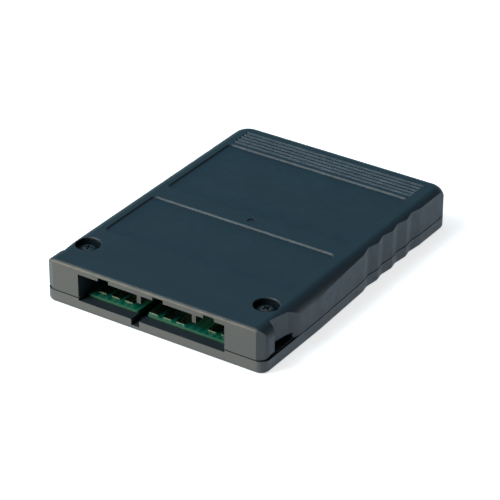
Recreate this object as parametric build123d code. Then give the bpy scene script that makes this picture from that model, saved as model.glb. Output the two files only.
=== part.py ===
from build123d import *
import os

# Console memory card: two moulded shells closed over a circuit board, with a connector window in front.
# Millimetres. X runs across the card, Y from the connector end to the rear, Z up from the underside.

# Contact strips, counted from the left
contact_counts = (3, 3, 2)
contact_pitch = 2.54
group_gaps = (5.45, 5.5)
contact_width = 1.7
contact_thickness = 0.2
contact_corner_radius = 0.15
contact_setbacks = (3.3, 2.5, 3.3)
contact_end = 9.8

# Connector window and the shoulders beside it, which together make the width of the card
window_margin_left = 1.55
window_margin_right = 1.13
shoulder_left = 6.6
shoulder_right = 7.37
bay_depth = 10.4
partition_thickness = 1.0
lip_thickness = 1.25
sill_height = 1.95
roof_notch_width = 2.05
roof_notch_depth = 0.6
roof_notch_length = 8.0
roof_notch_shifts = (0.0, 0.0, 0.3)
guide_rib_width = 0.75
guide_rib_drop = 3.1
guide_rib_setback = 2.3

# Key that only lets the card in one way up: a notch in the sill and a slot in the board
key_width = 1.55
key_floor = 0.9
key_from_window = 10.3
key_slot_length = 8.0

# Outer form of the housing
card_length = 57.4
card_height = 8.0
parting_height = 2.5
parting_groove_height = 0.18
parting_groove_depth = 0.4
front_bevel_width = 1.55
front_bevel_length = 0.9
front_bevel_edge_radius = 0.1
front_bevel_side_radius = 0.8
bottom_front_corner_radius = 1.6
rear_corner_radius = 1.9
top_edge_radius = 2.0
front_edge_radius = 0.5
top_rear_corner_radius = 3.2
bottom_edge_radius = 0.7

# Sides: straight in front, then a slight taper to the fluted finger grip
taper_start = 16.0
taper_radius = 20.0
grip_from_rear = 27.4
grip_inset = 0.45
rear_inset = 0.6
flute_count = 4
flute_pitch = 4.6
flute_depth = 0.35
flute_run_in = 1.8
flute_radius = 1.2

# Latch notch in each side of the top shell, with a slot at its foot and a lead-in under its front post
latch_start = 3.0
latch_wall_run = 0.4
latch_depth = 1.4
latch_ramp_start = 7.7
latch_ramp_depth = 0.75
latch_end = 9.6
latch_edge_radius = 0.3
latch_exit_radius = 5.0
latch_slot_height = 1.05
latch_slot_end = 8.6
latch_lead_start = 0.2
latch_lead_rise = 1.4
latch_lead_height = 0.65

# Label recesses and grip grooves with sloping walls, and the gate mark, on the top face
label_side_margin = 3.1
label_depth = 0.25
label_wall_slope = 45.0
label_corner_radius = 1.0
front_label_start = 12.2
front_label_length = 14.15
label_bridge = 3.65
label_rear_margin = 8.35
groove_count = 5
groove_pitch = 1.0
groove_width = 0.6
groove_floor_width = 0.1
groove_depth = 0.25
groove_side_margin = 3.25
groove_rear_margin = 3.0
gate_mark_diameter = 1.4
gate_mark_depth = 0.15

# Walls, locating rim and board ribs
roof_thickness = 1.4
floor_thickness = 1.0
side_wall = 2.15
rear_wall = 1.4
rim_thickness = 0.55
rim_height = 0.8
rim_clearance = 0.1
board_rib_width = 1.0
board_rib_spacing = 11.0
board_rib_end_gap = 1.5

# Screws, counterbores and bosses
screw_inset_left = 3.45
screw_inset_right = 4.3
screw_setback = 7.1
counterbore_diameter = 4.25
counterbore_depth = 1.7
counterbore_chamfer = 0.1
head_clearance = 0.15
head_height = 0.9
head_chamfer = 0.3
shank_diameter = 2.0
shank_clearance = 0.15
pilot_clearance = 0.04
tip_gap = 0.15
boss_diameter = 3.4
boss_height = 2.5
boss_side_clearance = 0.1
boss_top_clearance = 0.15
boss_hole_floor = 0.9

# Circuit board
board_thickness = 1.0
board_setback = 2.1
board_gap = 0.1
board_clearance = 0.15
board_corner_radius = 0.6

# Chips and small components on the board; places are from the middle and from the front face
flash_size = (18.4, 12.0, 1.0)
flash_place = (1.0, 38.5)
flash_leads_per_side = 20
flash_lead_pitch = 0.55
controller_size = (10.0, 10.0, 1.4)
controller_place = (-7.0, 22.5)
controller_leads_per_side = 11
controller_lead_pitch = 0.8
chip_standoff = 0.15
lead_width = 0.3
lead_thickness = 0.15
lead_reach = 1.0
lead_foot = 0.5
lead_root = 0.2
crystal_length = 11.0
crystal_width = 4.6
crystal_height = 3.4
crystal_flange = 0.4
crystal_place = (8.5, 18.5)
regulator_size = (6.5, 3.5, 1.6)
regulator_place = (7.5, 25.5)
regulator_tab_width = 3.0
regulator_pin_width = 0.7
regulator_pin_pitch = 2.3
regulator_pin_reach = 1.6
regulator_pin_thickness = 0.25
tank_size = (3.5, 2.8, 1.9)
tank_place = (14.5, 25.5)
capacitor_size = (2.0, 1.25, 0.8)
capacitor_row = (-8.0, 48.0)
capacitor_spacing = 4.0
resistor_size = (2.0, 1.25, 0.5)
resistor_row = (-12.0, 13.8)
resistor_spacing = 3.6
small_part_count = 4
terminal_length = 0.45
terminal_swell = 0.03

# Sizes and planes that follow from the values above
contact_span = contact_pitch * sum(count - 1 for count in contact_counts) + sum(group_gaps)
window_width = window_margin_left + contact_width + contact_span + window_margin_right
card_width = shoulder_left + window_width + shoulder_right
side = card_width / 2
front = -card_length / 2
rear = card_length / 2
window_left = -side + shoulder_left
window_right = window_left + window_width
window_middle = window_left + window_width / 2
lip_height = card_height - lip_thickness
roof_height = card_height - roof_thickness
shoulder_line = front + bay_depth + partition_thickness
top_inside = side - side_wall
rim_outside = top_inside - rim_clearance
bottom_inside = rim_outside - rim_thickness
top_inside_rear = rear - rear_wall
rim_outside_rear = top_inside_rear - rim_clearance
bottom_inside_rear = rim_outside_rear - rim_thickness
board_top = parting_height - board_gap
board_underside = board_top - board_thickness
sill_depth = board_setback - board_clearance
counterbore_floor = card_height - counterbore_depth
boss_top = parting_height + boss_height
screw_places = [(x, front + screw_setback) for x in (screw_inset_left - side, side - screw_inset_right)]
cut_margin = 1.0


def block(x, y, z):
    """A box between pairs of x, y and z planes."""
    solid = Box(x[1] - x[0], y[1] - y[0], z[1] - z[0], align=(Align.MIN, Align.MIN, Align.MIN))
    return Pos(x[0], y[0], z[0]) * solid


def post(place, diameter, z):
    """An upright cylinder between two heights."""
    solid = Cylinder(diameter / 2, z[1] - z[0], align=(Align.CENTER, Align.CENTER, Align.MIN))
    return Pos(place[0], place[1], z[0]) * solid


def contact_centres():
    """X of each contact strip, group by group."""
    groups = []
    x = window_left + window_margin_left + contact_width / 2
    for count, gap in zip(contact_counts, group_gaps + (0.0,)):
        groups.append([x + number * contact_pitch for number in range(count)])
        x = groups[-1][-1] + gap
    return groups


def plan(latched):
    """Plan of the housing; the right-hand half is drawn as points with corner radii, then mirrored."""
    corners = []
    if latched:
        corners.append(((side - front_bevel_width, front), front_bevel_edge_radius))
        corners.append(((side, front + front_bevel_length), front_bevel_side_radius))
        latch_floor_start = front + latch_start + latch_wall_run
        corners.append(((side, front + latch_start), latch_edge_radius))
        corners.append(((side - latch_depth, latch_floor_start), latch_edge_radius))
        corners.append(((side - latch_ramp_depth, front + latch_ramp_start), latch_edge_radius))
        corners.append(((side, front + latch_end), latch_exit_radius))
    else:
        corners.append(((side, front), bottom_front_corner_radius))
    corners.append(((side, front + taper_start), taper_radius))
    grip_front = rear - grip_from_rear
    corners.append(((side - grip_inset, grip_front), flute_radius))
    crest_step = (rear_inset - grip_inset) / flute_count
    for number in range(flute_count):
        crest_inset = grip_inset + number * crest_step
        flute_start = grip_front + number * flute_pitch
        corners.append(((side - crest_inset - flute_depth, flute_start + flute_run_in), flute_radius))
        corners.append(((side - crest_inset - crest_step, flute_start + flute_pitch), flute_radius))
    corners.append(((side - rear_inset, rear), rear_corner_radius))
    points = [(0, front)] + [point for point, radius in corners] + [(0, rear)]
    right_half = FilletPolyline(*points, radius=[radius for point, radius in corners])
    left_half = mirror(right_half, Plane.YZ)
    return make_face(right_half.edges() + left_half.edges())


def rounded_block():
    """The card as a block with rounded upper edges, the front one much less than the others."""
    solid = Box(card_width, card_length, card_height, align=(Align.CENTER, Align.CENTER, Align.MIN))
    rear_corners = solid.edges().filter_by(Axis.Z).group_by(Axis.Y)[-1]
    solid = fillet(rear_corners, top_rear_corner_radius)
    upper_edges = solid.faces().sort_by(Axis.Z)[-1].edges()
    front_edge = upper_edges.sort_by(Axis.Y)[0]
    solid = fillet([edge for edge in upper_edges if edge != front_edge], top_edge_radius)
    front_edge = solid.faces().sort_by(Axis.Y)[0].edges().sort_by(Axis.Z)[-1]
    return fillet(front_edge, front_edge_radius)


def label_recess(start, end):
    """Cutter for one shallow recess in the top face, with rounded corners and sloping walls."""
    outline = RectangleRounded(2 * (side - label_side_margin), end - start, label_corner_radius)
    cutter = extrude(outline, label_depth, (0, 0, -1), taper=label_wall_slope)
    return Pos(window_middle, (start + end) / 2, card_height) * cutter


def grip_grooves():
    """Cutters for the row of cross grooves behind the labels, each narrower at its floor."""
    points = [
        (-groove_width / 2, 0),
        (groove_width / 2, 0),
        (groove_floor_width / 2, -groove_depth),
        (-groove_floor_width / 2, -groove_depth),
    ]
    section = Plane.YZ * make_face(Polyline(*points, close=True).edges())
    groove = extrude(section, side - groove_side_margin, both=True)
    last = rear - groove_rear_margin - groove_width / 2
    places = [last - number * groove_pitch for number in range(groove_count)]
    return [Pos(window_middle, y, card_height) * groove for y in places]


def counterbore_rim():
    """Cutter for the chamfer around one counterbore, below the top face."""
    bore_radius = counterbore_diameter / 2
    centred = (Align.CENTER, Align.CENTER, Align.MAX)
    return Cone(bore_radius, bore_radius + counterbore_chamfer, counterbore_chamfer, align=centred)


def latch_slots():
    """Cutters for the slots at the foot of the two latch notches."""
    y = (front + latch_start, front + latch_slot_end)
    z = (parting_height - cut_margin, parting_height + latch_slot_height)
    left_slot = block((-side - cut_margin, screw_inset_left - side), y, z)
    right_slot = block((side - screw_inset_right, side + cut_margin), y, z)
    return [left_slot, right_slot]


def latch_leads():
    """Cutters for the wedge-shaped gap under the post in front of each latch notch."""
    start = front + latch_lead_start
    end = front + latch_start + latch_wall_run
    top = parting_height + latch_lead_height
    points = [(start, parting_height), (start + latch_lead_rise, top), (end, top), (end, parting_height)]
    section = Plane.YZ * make_face(Polyline(*points, close=True).edges())
    right_lead = Pos(side - latch_depth, 0, 0) * extrude(section, latch_depth + cut_margin)
    return [right_lead, mirror(right_lead, Plane.YZ)]


def top_shell():
    """Upper half of the housing."""
    skin = Pos(0, 0, parting_height) * extrude(plan(latched=True), card_height - parting_height)
    shell = rounded_block() & skin

    window_x = (window_left, window_right)
    below = parting_height - cut_margin
    shell -= block(window_x, (front - cut_margin, front + bay_depth), (below, lip_height))
    shell -= block((-top_inside, top_inside), (shoulder_line, top_inside_rear), (below, roof_height))
    shell -= latch_slots()
    shell -= latch_leads()

    notch_y = (front - cut_margin, front + roof_notch_length)
    notch_z = (lip_height - cut_margin, lip_height + roof_notch_depth)
    groups = contact_centres()
    for group, shift in zip(groups, roof_notch_shifts):
        middle = (group[0] + group[-1]) / 2 + shift
        shell -= block((middle - roof_notch_width / 2, middle + roof_notch_width / 2), notch_y, notch_z)

    rib_y = (front + guide_rib_setback, front + bay_depth)
    for before, after in zip(groups, groups[1:]):
        middle = (before[-1] + after[0]) / 2
        rib_x = (middle - guide_rib_width / 2, middle + guide_rib_width / 2)
        shell += block(rib_x, rib_y, (lip_height - guide_rib_drop, lip_height))

    for place in screw_places:
        shell -= post(place, counterbore_diameter, (counterbore_floor, card_height + cut_margin))
        shell -= Pos(*place, card_height) * counterbore_rim()
        shell -= post(place, shank_diameter + 2 * shank_clearance, (boss_top, counterbore_floor))
        boss_room = boss_diameter + 2 * boss_side_clearance
        shell -= post(place, boss_room, (below, boss_top + boss_top_clearance))

    front_label_end = front + front_label_start + front_label_length
    shell -= label_recess(front + front_label_start, front_label_end)
    shell -= label_recess(front_label_end + label_bridge, rear - label_rear_margin)
    shell -= grip_grooves()
    gate_place = (0, front_label_end + label_bridge / 2)
    shell -= post(gate_place, gate_mark_diameter, (card_height - gate_mark_depth, card_height + cut_margin))
    return shell


def locating_rim():
    """U-shaped rim along the sides and rear that stands up inside the top shell."""
    z = (parting_height, parting_height + rim_height)
    outer = block((-rim_outside, rim_outside), (shoulder_line, rim_outside_rear), z)
    inner = block((-bottom_inside, bottom_inside), (shoulder_line, bottom_inside_rear), z)
    return outer - inner


def bottom_shell():
    """Lower half of the housing."""
    outline = plan(latched=False)
    shell = extrude(outline, parting_height)
    shell = fillet(shell.faces().sort_by(Axis.Z)[0].edges(), bottom_edge_radius)
    edge_band = outline - offset(outline, -parting_groove_depth)
    groove_floor = parting_height - parting_groove_height
    shell -= Pos(0, 0, groove_floor) * extrude(edge_band, parting_groove_height)

    window_x = (window_left, window_right)
    above = parting_height + cut_margin
    shell -= block(window_x, (front - cut_margin, front + sill_depth), (sill_height, above))
    shell -= block(window_x, (front + sill_depth, shoulder_line), (floor_thickness, above))
    inside_y = (shoulder_line, bottom_inside_rear)
    shell -= block((-bottom_inside, bottom_inside), inside_y, (floor_thickness, above))
    key_x = (window_left + key_from_window, window_left + key_from_window + key_width)
    shell -= block(key_x, (front - cut_margin, front + sill_depth), (key_floor, above))

    rib_y = (front + sill_depth, bottom_inside_rear - board_rib_end_gap)
    for x in (window_middle - board_rib_spacing, window_middle, window_middle + board_rib_spacing):
        rib_x = (x - board_rib_width / 2, x + board_rib_width / 2)
        shell += block(rib_x, rib_y, (floor_thickness, board_underside))

    shell += locating_rim()
    for place in screw_places:
        shell += post(place, boss_diameter, (parting_height, boss_top))
        shell -= post(place, shank_diameter + 2 * pilot_clearance, (boss_hole_floor, boss_top))
    return shell


def case_screws():
    """The two housing screws, with plain heads and shanks."""
    shank_end = boss_hole_floor + tip_gap
    screws = []
    for place in screw_places:
        head_diameter = counterbore_diameter - 2 * head_clearance
        head = post(place, head_diameter, (counterbore_floor, counterbore_floor + head_height))
        head = chamfer(head.edges().sort_by(Axis.Z)[-1], head_chamfer)
        shank = post(place, shank_diameter, (shank_end, counterbore_floor))
        screws.append(head + shank)
    return Compound(children=screws)


def circuit_board():
    """Board with a narrow tongue between the shoulders and a key slot in its front edge."""
    tongue_x = (window_left + board_clearance, window_right - board_clearance)
    wide = bottom_inside - board_clearance
    board_front = front + board_setback
    step = shoulder_line + board_clearance
    board_rear = bottom_inside_rear - board_clearance
    corners = [
        (tongue_x[0], board_front),
        (tongue_x[1], board_front),
        (tongue_x[1], step),
        (wide, step),
        (wide, board_rear),
        (-wide, board_rear),
        (-wide, step),
        (tongue_x[0], step),
    ]
    outline = make_face(Polyline(*corners, close=True).edges())
    key_left = window_left + key_from_window
    slot = Pos(key_left + key_width / 2, board_front) * Rectangle(key_width, 2 * key_slot_length)
    outline -= slot
    outline = fillet(outline.vertices().group_by(Axis.Y)[0], board_corner_radius)
    return Pos(0, 0, board_underside) * extrude(outline, board_thickness)


def contact_strip(x, setback):
    """One plated strip, rounded at its front corners, lying on the board."""
    length = contact_end - setback
    outline = Rectangle(contact_width, length, align=(Align.CENTER, Align.MIN))
    outline = fillet(outline.vertices().group_by(Axis.Y)[0], contact_corner_radius)
    return Pos(x, front + setback, board_top) * extrude(outline, contact_thickness)


def on_board(place, solid):
    """Moves a component from the origin to its place on the upper face of the board."""
    return Pos(place[0], front + place[1], board_top) * solid


def gull_lead(root_height):
    """One bent lead in the XZ plane, from the side of a package out to the board."""
    shoulder = lead_reach - lead_foot
    points = [
        (-lead_root, root_height),
        (shoulder - lead_thickness, root_height),
        (shoulder, 0),
        (lead_reach, 0),
        (lead_reach, lead_thickness),
        (shoulder + lead_thickness, lead_thickness),
        (shoulder, root_height + lead_thickness),
        (-lead_root, root_height + lead_thickness),
    ]
    outline = Plane.XZ * make_face(Polyline(*points, close=True).edges())
    return extrude(outline, lead_width / 2, both=True)


def chip_package(size, leads_per_side, pitch, turns):
    """Moulded package with a row of leads on each of the sides named by turns, in degrees."""
    package = Pos(0, 0, chip_standoff) * Box(*size, align=(Align.CENTER, Align.CENTER, Align.MIN))
    lead = gull_lead(chip_standoff + size[2] / 2)
    for turn in turns:
        reach = size[0] / 2 if turn % 180 == 0 else size[1] / 2
        for number in range(leads_per_side):
            along = (number - (leads_per_side - 1) / 2) * pitch
            package += Rot(0, 0, turn) * Pos(reach, along, 0) * lead
    return package


def crystal():
    """Clock crystal: an upright can with rounded ends on a flange."""
    flange = SlotOverall(crystal_length + 2 * crystal_flange, crystal_width + 2 * crystal_flange)
    can = extrude(SlotOverall(crystal_length, crystal_width), crystal_height)
    return on_board(crystal_place, extrude(flange, crystal_flange) + can)


def voltage_regulator():
    """Regulator with a wide tab on one side and three pins on the other."""
    length, width, height = regulator_size
    solid = Box(length, width, height, align=(Align.CENTER, Align.CENTER, Align.MIN))
    pin_y = (-width / 2 - regulator_pin_reach, 0)
    tab_y = (0, width / 2 + regulator_pin_reach)
    pin_z = (0, regulator_pin_thickness)
    solid += block((-regulator_tab_width / 2, regulator_tab_width / 2), tab_y, pin_z)
    for x in (-regulator_pin_pitch, 0, regulator_pin_pitch):
        solid += block((x - regulator_pin_width / 2, x + regulator_pin_width / 2), pin_y, pin_z)
    return on_board(regulator_place, solid)


def end_capped(size):
    """Small component with a slightly thicker metal cap at each end."""
    length, width, height = size
    centred = (Align.CENTER, Align.CENTER, Align.MIN)
    solid = Box(length, width, height, align=centred)
    cap = Box(terminal_length, width + 2 * terminal_swell, height + terminal_swell, align=centred)
    cap_place = (length - terminal_length) / 2
    return solid + Pos(cap_place, 0, 0) * cap + Pos(-cap_place, 0, 0) * cap


def row_places(start, spacing):
    """Places of the small components in one row."""
    return [(start[0] + number * spacing, start[1]) for number in range(small_part_count)]


parts = {
    "top_shell": top_shell(),
    "bottom_shell": bottom_shell(),
    "circuit_board": circuit_board(),
    "case_screws": case_screws(),
    "flash_memory": on_board(
        flash_place,
        chip_package(flash_size, flash_leads_per_side, flash_lead_pitch, (0, 180)),
    ),
    "controller": on_board(
        controller_place,
        chip_package(controller_size, controller_leads_per_side, controller_lead_pitch, (0, 90, 180, 270)),
    ),
    "crystal": crystal(),
    "voltage_regulator": voltage_regulator(),
    "tank_capacitor": on_board(tank_place, end_capped(tank_size)),
}
strip_number = 0
for group, setback in zip(contact_centres(), contact_setbacks):
    for x in group:
        strip_number += 1
        parts[f"contact_{strip_number}"] = contact_strip(x, setback)
for number, place in enumerate(row_places(capacitor_row, capacitor_spacing), 1):
    parts[f"capacitor_{number}"] = on_board(place, end_capped(capacitor_size))
for number, place in enumerate(row_places(resistor_row, resistor_spacing), 1):
    parts[f"resistor_{number}"] = on_board(place, end_capped(resistor_size))

os.makedirs("parts", exist_ok=True)
for name, solid in parts.items():
    export_step(solid, f"parts/{name}.step")
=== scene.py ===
import bpy
from math import cos, pi, radians, sin
from mathutils import Matrix, Vector


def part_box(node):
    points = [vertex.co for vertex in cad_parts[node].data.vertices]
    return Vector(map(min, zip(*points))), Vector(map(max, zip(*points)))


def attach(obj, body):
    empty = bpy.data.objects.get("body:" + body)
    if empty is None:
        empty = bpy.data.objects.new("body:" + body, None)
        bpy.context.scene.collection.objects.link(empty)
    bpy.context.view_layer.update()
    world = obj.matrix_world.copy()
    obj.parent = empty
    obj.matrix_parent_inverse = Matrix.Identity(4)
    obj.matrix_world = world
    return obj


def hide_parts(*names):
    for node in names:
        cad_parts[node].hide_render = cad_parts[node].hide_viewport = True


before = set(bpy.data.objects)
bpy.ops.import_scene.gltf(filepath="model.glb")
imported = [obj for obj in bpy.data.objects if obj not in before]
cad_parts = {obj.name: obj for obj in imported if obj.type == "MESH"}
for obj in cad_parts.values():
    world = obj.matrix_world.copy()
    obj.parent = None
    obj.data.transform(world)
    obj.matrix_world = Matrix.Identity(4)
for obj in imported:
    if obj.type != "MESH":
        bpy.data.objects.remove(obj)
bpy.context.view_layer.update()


# Lower half of the housing: an injection-moulded tray of near-black plastic with a finely eroded surface.
# It carries the board on three ribs, and its two bosses take the screws.
# The upper half is of nearly the same plastic, but its mould is a little rougher.


def start_finish(name):
    """A new finish, with its node tree, its shader and the place of each point on the card in metres."""
    finish = bpy.data.materials.new(name)
    finish.use_nodes = True
    tree = finish.node_tree
    place = tree.nodes.new("ShaderNodeTexCoord").outputs["Object"]
    return finish, tree, tree.nodes["Principled BSDF"], place


def cloud(tree, place, scale, detail, stretch=(1, 1, 1)):
    """Soft irregular pattern, drawn out along the axes with small stretch values."""
    mapping = tree.nodes.new("ShaderNodeMapping")
    mapping.inputs["Scale"].default_value = stretch
    tree.links.new(place, mapping.inputs["Vector"])
    noise = tree.nodes.new("ShaderNodeTexNoise")
    noise.inputs["Scale"].default_value = scale
    noise.inputs["Detail"].default_value = detail
    tree.links.new(mapping.outputs["Vector"], noise.inputs["Vector"])
    return noise.outputs["Fac"]


def spread(tree, pattern, low, high, start=0.3, end=0.7):
    """Turns a pattern into a number between two limits; a cloud lies mostly between 0.3 and 0.7."""
    remap = tree.nodes.new("ShaderNodeMapRange")
    remap.inputs["From Min"].default_value = start
    remap.inputs["From Max"].default_value = end
    remap.inputs["To Min"].default_value = low
    remap.inputs["To Max"].default_value = high
    tree.links.new(pattern, remap.inputs["Value"])
    return remap.outputs["Result"]


def tint(tree, share, first, second):
    """Mixes two colours, or earlier mixes, by a share from 0 to 1."""
    first_socket, second_socket, result_socket = 6, 7, 2
    mix = tree.nodes.new("ShaderNodeMix")
    mix.data_type = "RGBA"
    tree.links.new(share, mix.inputs["Factor"])
    for socket, colour in ((first_socket, first), (second_socket, second)):
        if isinstance(colour, tuple):
            mix.inputs[socket].default_value = (*colour, 1)
        else:
            tree.links.new(colour, mix.inputs[socket])
    return mix.outputs[result_socket]


def emboss(tree, shader, height, depth, strength):
    """Raises the surface by a pattern, depth in metres."""
    bump = tree.nodes.new("ShaderNodeBump")
    bump.inputs["Strength"].default_value = strength
    bump.inputs["Distance"].default_value = depth
    tree.links.new(height, bump.inputs["Height"])
    tree.links.new(bump.outputs["Normal"], shader.inputs["Normal"])


def dress(node, finish):
    """Puts a finish on a node of the frame."""
    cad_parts[node].material_slots[0].material = finish


def housing_plastic(name, dark, light, smoothest, roughest, refraction):
    """Near-black moulded plastic between two colours and two limits of roughness."""
    finish, tree, shader, place = start_finish(name)
    flow = spread(tree, cloud(tree, place, scale=170, detail=3), 0, 1)
    tree.links.new(tint(tree, flow, dark, light), shader.inputs["Base Color"])
    handled = spread(tree, cloud(tree, place, scale=600, detail=4), smoothest, roughest)
    tree.links.new(handled, shader.inputs["Roughness"])
    shader.inputs["IOR"].default_value = refraction
    eroded = cloud(tree, place, scale=7000, detail=2)
    emboss(tree, shader, eroded, depth=0.000012, strength=0.3)
    return finish


lower_plastic = housing_plastic(
    "lower_housing_plastic",
    dark=(0.0064, 0.0116, 0.0152),
    light=(0.0088, 0.0148, 0.0188),
    smoothest=0.50,
    roughest=0.58,
    refraction=1.55,
)
dress("bottom_shell", lower_plastic)


# Circuit board: glass-fibre laminate under green solder mask, sawn to a T with a narrow connector tongue.
# Its copper tracks show faintly through the mask, and the sawn edges show the bare laminate, coloured dark as
# painted shade.


def reckon(tree, operation, first, second=0):
    """One step of arithmetic on a pattern, with a number or a second pattern."""
    step = tree.nodes.new("ShaderNodeMath")
    step.operation = operation
    tree.links.new(first, step.inputs[0])
    if isinstance(second, (int, float)):
        step.inputs[1].default_value = second
    else:
        tree.links.new(second, step.inputs[1])
    return step.outputs["Value"]


def flat_faces(tree):
    """1 on faces that look up or down, 0 on upright ones."""
    geometry = tree.nodes.new("ShaderNodeNewGeometry")
    facing = tree.nodes.new("ShaderNodeSeparateXYZ")
    tree.links.new(geometry.outputs["True Normal"], facing.inputs["Vector"])
    level = reckon(tree, "ABSOLUTE", facing.outputs["Z"])
    return spread(tree, level, 0, 1, start=0.4, end=0.6)


def solder_mask():
    """Green mask, lighter over the raised copper tracks, with laminate of several plies on upright faces,
    darkened as painted shade.
    """
    finish, tree, shader, place = start_finish("solder_mask")
    track = tree.nodes.new("ShaderNodeTexWave")
    track.bands_direction = "X"
    track.inputs["Scale"].default_value = 250
    track.inputs["Distortion"].default_value = 1.5
    track.inputs["Detail Scale"].default_value = 60
    tree.links.new(place, track.inputs["Vector"])
    copper = spread(tree, track.outputs["Fac"], 0, 1, start=0.55, end=0.62)
    over_copper = tint(tree, copper, (0.001, 0.105, 0.066), (0.004, 0.18, 0.11))
    plies = cloud(tree, place, scale=900, detail=3, stretch=(0.1, 0.1, 4))
    # Bare laminate on the sawn edges, its colour darkened as painted shade.
    laminate_painted_shade = tint(tree, plies, (0.001, 0.034, 0.023), (0.004, 0.054, 0.037))
    colour = tint(tree, flat_faces(tree), laminate_painted_shade, over_copper)
    tree.links.new(colour, shader.inputs["Base Color"])
    cured = spread(tree, cloud(tree, place, scale=500, detail=2), 0.38, 0.5)
    tree.links.new(cured, shader.inputs["Roughness"])
    shader.inputs["Specular IOR Level"].default_value = 0.28
    emboss(tree, shader, copper, depth=0.00002, strength=0.15)
    return finish


dress("circuit_board", solder_mask())


# Contact strips: plated spring metal lying on the tongue, which the console's springs wipe along.
# The wiping leaves fine lines along each strip; the upper face is painted darker and greener as shade and
# green bounce from the board, the cut ends lighter as painted light.

contact_count = 8


def wiped_plating_painted_shade():
    """Plated metal with wiping lines, with painted light on upright faces and painted shade with green bounce
    on flat ones.
    """
    finish, tree, shader, place = start_finish("wiped_plating_painted_shade")
    wiped = cloud(tree, place, scale=9000, detail=2, stretch=(1, 0.02, 1))
    lines = spread(tree, wiped, 0, 1)
    # Lighter colour on upright faces: painted light on the cut ends.
    painted_lit_ends = tint(tree, lines, (0.28, 0.39, 0.34), (0.42, 0.54, 0.48))
    # Darker, greener colour on flat faces: painted shade and painted green bounce light from the board.
    painted_shade_tops = tint(tree, lines, (0.10, 0.29, 0.16), (0.20, 0.43, 0.27))
    tree.links.new(tint(tree, flat_faces(tree), painted_lit_ends, painted_shade_tops), shader.inputs["Base Color"])
    tree.links.new(spread(tree, wiped, 0.18, 0.34), shader.inputs["Roughness"])
    shader.inputs["Metallic"].default_value = 1
    emboss(tree, shader, wiped, depth=0.000008, strength=0.12)
    return finish


plating = wiped_plating_painted_shade()
for number in range(1, contact_count + 1):
    dress(f"contact_{number}", plating)


# Memory chip, control chip and regulator: black moulded epoxy packages soldered to the board.
# Their tinned leads stand out beyond the packages.

black_epoxy = ((0.012, 0.012, 0.013), (0.026, 0.026, 0.028))
bright_tin = ((0.55, 0.55, 0.54), (0.72, 0.72, 0.70))
half_packages = {
    "flash_memory": (0.00921, 0.0061),
    "controller": (0.00501, 0.00501),
    "voltage_regulator": (0.0033, 0.00176),
}


def outside_package(tree, place, centre, half):
    """1 where a point lies beside the package, on the leads, and 0 within its outline."""
    split = tree.nodes.new("ShaderNodeSeparateXYZ")
    tree.links.new(place, split.inputs["Vector"])
    beyond = []
    for axis, middle, limit in (("X", centre.x, half[0]), ("Y", centre.y, half[1])):
        distance = reckon(tree, "ABSOLUTE", reckon(tree, "SUBTRACT", split.outputs[axis], middle))
        beyond.append(reckon(tree, "GREATER_THAN", distance, limit))
    return reckon(tree, "MAXIMUM", *beyond)


def soldered_package(node, half, moulding, metal):
    """A component with a moulded middle and bright metal wherever it reaches past half its package size."""
    low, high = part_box(node)
    finish, tree, shader, place = start_finish(f"{node}_package")
    on_metal = outside_package(tree, place, (low + high) / 2, half)
    grain = cloud(tree, place, scale=6000, detail=3)
    share = spread(tree, grain, 0, 1)
    colour = tint(tree, on_metal, tint(tree, share, *moulding), tint(tree, share, *metal))
    tree.links.new(colour, shader.inputs["Base Color"])
    tree.links.new(on_metal, shader.inputs["Metallic"])
    tree.links.new(spread(tree, grain, 0.45, 0.65), shader.inputs["Roughness"])
    emboss(tree, shader, grain, depth=0.00001, strength=0.3)
    dress(node, finish)


for node, half in half_packages.items():
    soldered_package(node, half, black_epoxy, bright_tin)


# Small components: a moulded supply capacitor, ceramic capacitors and glazed resistors.
# Each has a tinned cap at both ends.

tank_resin = ((0.52, 0.36, 0.06), (0.66, 0.47, 0.09))
brown_ceramic = ((0.36, 0.25, 0.15), (0.48, 0.36, 0.23))
black_glaze = ((0.010, 0.010, 0.012), (0.03, 0.03, 0.035))
half_tank = (0.0013, 0.002)
half_small = (0.00055, 0.001)
small_count = 4

soldered_package("tank_capacitor", half_tank, tank_resin, bright_tin)
for number in range(1, small_count + 1):
    soldered_package(f"capacitor_{number}", half_small, brown_ceramic, bright_tin)
    soldered_package(f"resistor_{number}", half_small, black_glaze, bright_tin)


# Clock crystal: a drawn and welded nickel-silver can on a flange.
# Drawing leaves faint upright lines on its wall.


def drawn_can():
    """Pale metal with upright lines."""
    finish, tree, shader, place = start_finish("drawn_can")
    lines = cloud(tree, place, scale=5000, detail=2, stretch=(1, 1, 0.04))
    colour = tint(tree, spread(tree, lines, 0, 1), (0.52, 0.52, 0.50), (0.68, 0.68, 0.66))
    tree.links.new(colour, shader.inputs["Base Color"])
    tree.links.new(spread(tree, lines, 0.25, 0.42), shader.inputs["Roughness"])
    shader.inputs["Metallic"].default_value = 1
    emboss(tree, shader, lines, depth=0.00001, strength=0.3)
    return finish


dress("crystal", drawn_can())


# Upper half of the housing: nearly the same plastic with a slightly duller surface, closed over the board.
# It has the label recesses, the grip grooves and the latch notches, all in one moulding.

upper_plastic = housing_plastic(
    "upper_housing_plastic",
    dark=(0.0056, 0.0114, 0.0158),
    light=(0.0076, 0.0146, 0.0196),
    smoothest=0.54,
    roughest=0.62,
    refraction=1.5,
)
dress("top_shell", upper_plastic)


# Housing screws: two dark plated self-cutting screws with domed heads and cross recesses.
# They sink into the counterbores of the upper half and hold in the bosses of the lower half.

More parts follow.
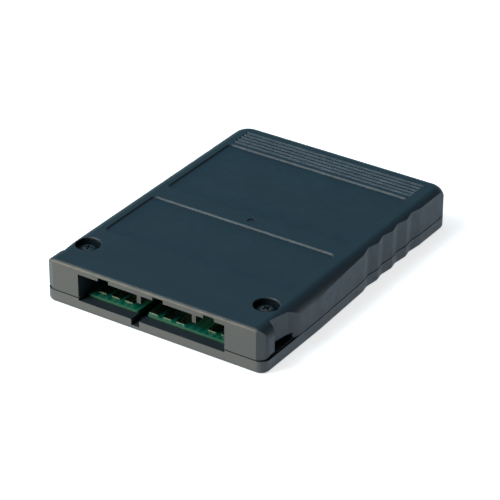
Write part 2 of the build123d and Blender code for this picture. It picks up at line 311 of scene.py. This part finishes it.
screw_low, screw_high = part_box("case_screws")
screw_y = (screw_low.y + screw_high.y) / 2
head_radius = (screw_high.y - screw_low.y) / 2
head_height = 0.0009
head_sides = 64
rim_drop = 0.00035
dome_steps = ((0.0003, 0.00026), (0.0004, 0.00017), (0.0005, 0.00011), (0.0004, 0.00006))
shank_radius = 0.001
shank_sides = 32
thread_pitch = 0.0004
thread_waist = 0.8
tip_share = 0.6
recess_span = 0.0021
recess_width = 0.00052
recess_depth = 0.00062
recess_foot_share = 0.4
left_recess_turn = 18
right_recess_turn = 62
glint_full_reach = 0.0007
glint_fade_reach = 0.0012
smooth_angle = 35
level_limit = 0.9


def deselect():
    bpy.ops.object.select_all(action="DESELECT")


def pick_faces(thing, wanted):
    """Leaves a mesh in edit mode with only the wanted faces selected."""
    bpy.context.view_layer.objects.active = thing
    bpy.ops.object.mode_set(mode="EDIT")
    bpy.ops.mesh.select_mode(type="FACE")
    bpy.ops.mesh.select_all(action="DESELECT")
    bpy.ops.object.mode_set(mode="OBJECT")
    for face in thing.data.polygons:
        face.select = wanted(face)
    bpy.ops.object.mode_set(mode="EDIT")


def join_pair(first, second):
    """Joins two meshes into the first."""
    deselect()
    first.select_set(True)
    second.select_set(True)
    bpy.context.view_layer.objects.active = first
    bpy.ops.object.join()


def domed_head(x, seat):
    """Head with its rim below the flat CAD head and its crown above it."""
    deselect()
    middle = (x, screw_y, seat + head_height / 2)
    bpy.ops.mesh.primitive_cylinder_add(
        vertices=head_sides, radius=head_radius, depth=head_height, location=middle
    )
    head = bpy.context.object
    bpy.ops.object.transform_apply(location=True, rotation=True, scale=True)
    pick_faces(head, lambda face: face.normal.z > level_limit)
    bpy.ops.transform.translate(value=(0, 0, -rim_drop))
    for inset, rise in dome_steps:
        bpy.ops.mesh.inset(thickness=inset)
        bpy.ops.transform.translate(value=(0, 0, rise))
    bpy.ops.object.mode_set(mode="OBJECT")
    return head


def cut_recess(head, crown, turn):
    """Cuts a cross into a head with two crossing bars that narrow towards their feet."""
    for bar_turn in (turn, turn + 90):
        deselect()
        bpy.ops.mesh.primitive_cube_add(size=1, location=crown, rotation=(0, 0, radians(bar_turn)))
        bar = bpy.context.object
        bar.scale = (recess_span, recess_width, 2 * recess_depth)
        bpy.ops.object.transform_apply(location=True, rotation=True, scale=True)
        pick_faces(bar, lambda face: face.normal.z < -level_limit)
        bpy.ops.transform.resize(value=(recess_foot_share, recess_foot_share, 1), center_override=crown)
        bpy.ops.object.mode_set(mode="OBJECT")
        cut = head.modifiers.new("cross recess", "BOOLEAN")
        cut.operation = "DIFFERENCE"
        cut.object = bar
        bpy.context.view_layer.objects.active = head
        bpy.ops.object.modifier_apply(modifier=cut.name)
        bpy.data.objects.remove(bar)


def threaded_shank(foot):
    """Shank drawn down from the foot of the head, with a ring of thread at each pitch and a narrower tip."""
    deselect()
    bpy.ops.mesh.primitive_circle_add(
        vertices=shank_sides, radius=shank_radius, fill_type="NGON", location=foot
    )
    shank = bpy.context.object
    bpy.ops.object.transform_apply(location=True, rotation=True, scale=True)
    bpy.ops.object.mode_set(mode="EDIT")
    bpy.ops.mesh.select_all(action="SELECT")
    half_turn = (0, 0, -thread_pitch / 2)
    for number in range(int((foot[2] - screw_low.z) / thread_pitch)):
        for share in (thread_waist, 1 / thread_waist):
            bpy.ops.mesh.extrude_region_move(TRANSFORM_OT_translate={"value": half_turn})
            bpy.ops.transform.resize(value=(share, share, 1), center_override=foot)
    bpy.ops.transform.resize(value=(tip_share, tip_share, 1), center_override=foot)
    bpy.ops.mesh.select_all(action="SELECT")
    bpy.ops.mesh.normals_make_consistent(inside=False)
    bpy.ops.object.mode_set(mode="OBJECT")
    return shank


def cross_screw(x, turn):
    """One screw, its head domed and cut with a cross, its shank ringed with a thread."""
    seat = screw_high.z - head_height
    crown = screw_high.z - rim_drop + sum(rise for inset, rise in dome_steps)
    head = domed_head(x, seat)
    cut_recess(head, (x, screw_y, crown), turn)
    join_pair(head, threaded_shank((x, screw_y, seat)))
    return head


def painted_glint_round_recess(tree, place):
    """1 beside the recess of either screw, where a highlight is painted on, fading to 0 further out."""
    between = (screw_low.x + screw_high.x) / 2
    apart = (screw_high.x - screw_low.x) / 2 - head_radius
    split = tree.nodes.new("ShaderNodeSeparateXYZ")
    tree.links.new(place, split.inputs["Vector"])
    from_between = reckon(tree, "ABSOLUTE", reckon(tree, "SUBTRACT", split.outputs["X"], between))
    flat = tree.nodes.new("ShaderNodeCombineXYZ")
    tree.links.new(reckon(tree, "SUBTRACT", from_between, apart), flat.inputs["X"])
    tree.links.new(reckon(tree, "SUBTRACT", split.outputs["Y"], screw_y), flat.inputs["Y"])
    reach = tree.nodes.new("ShaderNodeVectorMath")
    reach.operation = "LENGTH"
    tree.links.new(flat.outputs["Vector"], reach.inputs[0])
    return spread(tree, reach.outputs["Value"], 1, 0, start=glint_full_reach, end=glint_fade_reach)


def dark_plating():
    """Dark plated steel, with a painted highlight round the recesses."""
    finish, tree, shader, place = start_finish("dark_plating")
    worn = cloud(tree, place, scale=2500, detail=4)
    plated = tint(tree, spread(tree, worn, 0, 1), (0.012, 0.012, 0.013), (0.032, 0.032, 0.034))
    # Warm lighter colour round each recess: a painted highlight.
    colour = tint(tree, painted_glint_round_recess(tree, place), plated, (0.125, 0.102, 0.090))
    tree.links.new(colour, shader.inputs["Base Color"])
    tree.links.new(spread(tree, worn, 0.38, 0.52), shader.inputs["Roughness"])
    shader.inputs["Metallic"].default_value = 1
    emboss(tree, shader, worn, depth=0.00001, strength=0.3)
    return finish


left_screw = cross_screw(screw_low.x + head_radius, left_recess_turn)
right_screw = cross_screw(screw_high.x - head_radius, right_recess_turn)
join_pair(left_screw, right_screw)
left_screw.name = "cross_head_screws"
left_screw.data.materials.clear()
left_screw.data.materials.append(dark_plating())
bpy.ops.object.shade_smooth_by_angle(angle=radians(smooth_angle))
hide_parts("case_screws")
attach(left_screw, "root")


# Table: a plain white sweep that the card lies on.
# It shows white to the eye and in reflections, and keeps the shadow under the card.

table_size = 4
table_drop = 0.00002
paper_grey = (0.70, 0.70, 0.70, 1)
paper_seen = (0.75, 0.75, 0.75)
paper_mirrored = (0.72, 0.85, 0.96)

deselect()
bpy.ops.mesh.primitive_plane_add(size=table_size, location=(0, 0, -table_drop))
table = bpy.context.object
table.name = "white_table"
paper = bpy.data.materials.new("white_paper")
paper.use_nodes = True
paper_tree = paper.node_tree
matt = paper_tree.nodes.new("ShaderNodeBsdfDiffuse")
matt.inputs["Color"].default_value = paper_grey
glow = paper_tree.nodes.new("ShaderNodeEmission")
rays = paper_tree.nodes.new("ShaderNodeLightPath")
in_view = reckon(paper_tree, "MAXIMUM", rays.outputs["Is Camera Ray"], rays.outputs["Is Glossy Ray"])
paper_tree.links.new(in_view, glow.inputs["Strength"])
paper_colour = tint(paper_tree, rays.outputs["Is Glossy Ray"], paper_seen, paper_mirrored)
paper_tree.links.new(paper_colour, glow.inputs["Color"])
both = paper_tree.nodes.new("ShaderNodeAddShader")
paper_tree.links.new(matt.outputs["BSDF"], both.inputs[0])
paper_tree.links.new(glow.outputs["Emission"], both.inputs[1])
paper_tree.links.new(both.outputs["Shader"], paper_tree.nodes["Material Output"].inputs["Surface"])
table.data.materials.append(paper)


# Backdrop: a low pale board that stands at the back of the table.
# It shows white to the eye, and the rear edges of the card mirror it as a soft grey.

backdrop_width = 1.6
backdrop_height = 0.13
backdrop_place = (-0.25, 0.62, backdrop_height / 2)
board_mirrored = (0.80, 1.0, 0.96)
plain_white = (1.0, 1.0, 1.0)

deselect()
bpy.ops.mesh.primitive_plane_add(size=1, location=backdrop_place, rotation=(pi / 2, 0, 0))
backdrop = bpy.context.object
backdrop.name = "low_backdrop"
backdrop.scale = (backdrop_width, backdrop_height, 1)
board_paint = bpy.data.materials.new("pale_board")
board_paint.use_nodes = True
board_tree = board_paint.node_tree
board_rays = board_tree.nodes.new("ShaderNodeLightPath")
board_glow = board_tree.nodes.new("ShaderNodeEmission")
board_colour = tint(board_tree, board_rays.outputs["Is Camera Ray"], board_mirrored, plain_white)
board_tree.links.new(board_colour, board_glow.inputs["Color"])
board_tree.links.new(board_glow.outputs["Emission"], board_tree.nodes["Material Output"].inputs["Surface"])
backdrop.data.materials.append(board_paint)


# Studio light: a wide soft strip low in front on the left, a soft fill and a small softbox above on the left,
# a cool soft panel behind on the left, and a dim room that shows white to the eye.

dim_room = (0.06, 0.075, 0.085)


def soft_panel(name, direction, distance, width, height, power, colour):
    """A rectangular area light that faces the middle of the card's underside."""
    place = Vector(direction).normalized() * distance
    deselect()
    bpy.ops.object.light_add(type="AREA", location=place)
    panel = bpy.context.object
    panel.name = name
    panel.data.shape = "RECTANGLE"
    panel.data.size = width
    panel.data.size_y = height
    panel.data.energy = power
    panel.data.color = colour
    panel.rotation_euler = place.to_track_quat("Z", "Y").to_euler()


soft_panel(
    "key_strip",
    direction=(-0.570, -0.820, 0.060),
    distance=0.6,
    width=0.45,
    height=0.06,
    power=8.5,
    colour=(1.0, 0.80, 0.53),
)
soft_panel(
    "fill_panel",
    direction=(-0.35, -0.15, 0.92),
    distance=0.7,
    width=0.5,
    height=0.5,
    power=1.3,
    colour=(0.95, 0.98, 1.0),
)
soft_panel(
    "edge_softbox",
    direction=(-0.38, -0.50, 0.78),
    distance=0.6,
    width=0.24,
    height=0.24,
    power=3.4,
    colour=(0.60, 0.83, 1.0),
)
soft_panel(
    "cool_panel",
    direction=(-0.478, 0.727, 0.493),
    distance=0.7,
    width=0.5,
    height=0.5,
    power=0.57,
    colour=(0.03, 0.62, 1.0),
)

room = bpy.context.scene.world or bpy.data.worlds.new("room")
bpy.context.scene.world = room
room.use_nodes = True
room_tree = room.node_tree
room_rays = room_tree.nodes.new("ShaderNodeLightPath")
room_colour = tint(room_tree, room_rays.outputs["Is Camera Ray"], dim_room, plain_white)
room_tree.links.new(room_colour, room_tree.nodes["Background"].inputs["Color"])
room_tree.nodes["Background"].inputs["Strength"].default_value = 1.0


# Camera: a long lens that looks down on the card from the front, a little to the right.
# Its place and lens were fitted to the straight edges of the card, lengths in metres.

azimuth, elevation, roll = radians(33.308), radians(29.552), radians(0.322)
aim = Vector((0, -0.0012, 0.00375))
view_distance = 0.42596
lens_mm = 186.72
sensor_width_mm = 36
shift_right = 0.0021
shift_up = -0.01026
nearest, furthest = 0.01, 10

away = Vector((sin(azimuth) * cos(elevation), -cos(azimuth) * cos(elevation), sin(elevation)))
swing = Matrix.Rotation(azimuth, 4, "Z")
tilt = Matrix.Rotation(pi / 2 - elevation, 4, "X")
twist = Matrix.Rotation(roll, 4, "Z")
deselect()
bpy.ops.object.camera_add()
camera = bpy.context.object
camera.matrix_world = Matrix.Translation(aim + away * view_distance) @ (swing @ tilt @ twist)
camera.data.lens = lens_mm
camera.data.sensor_width = sensor_width_mm
camera.data.shift_x = shift_right
camera.data.shift_y = shift_up
camera.data.clip_start = nearest
camera.data.clip_end = furthest
bpy.context.scene.camera = camera
bpy.context.scene.view_settings.view_transform = "Standard"
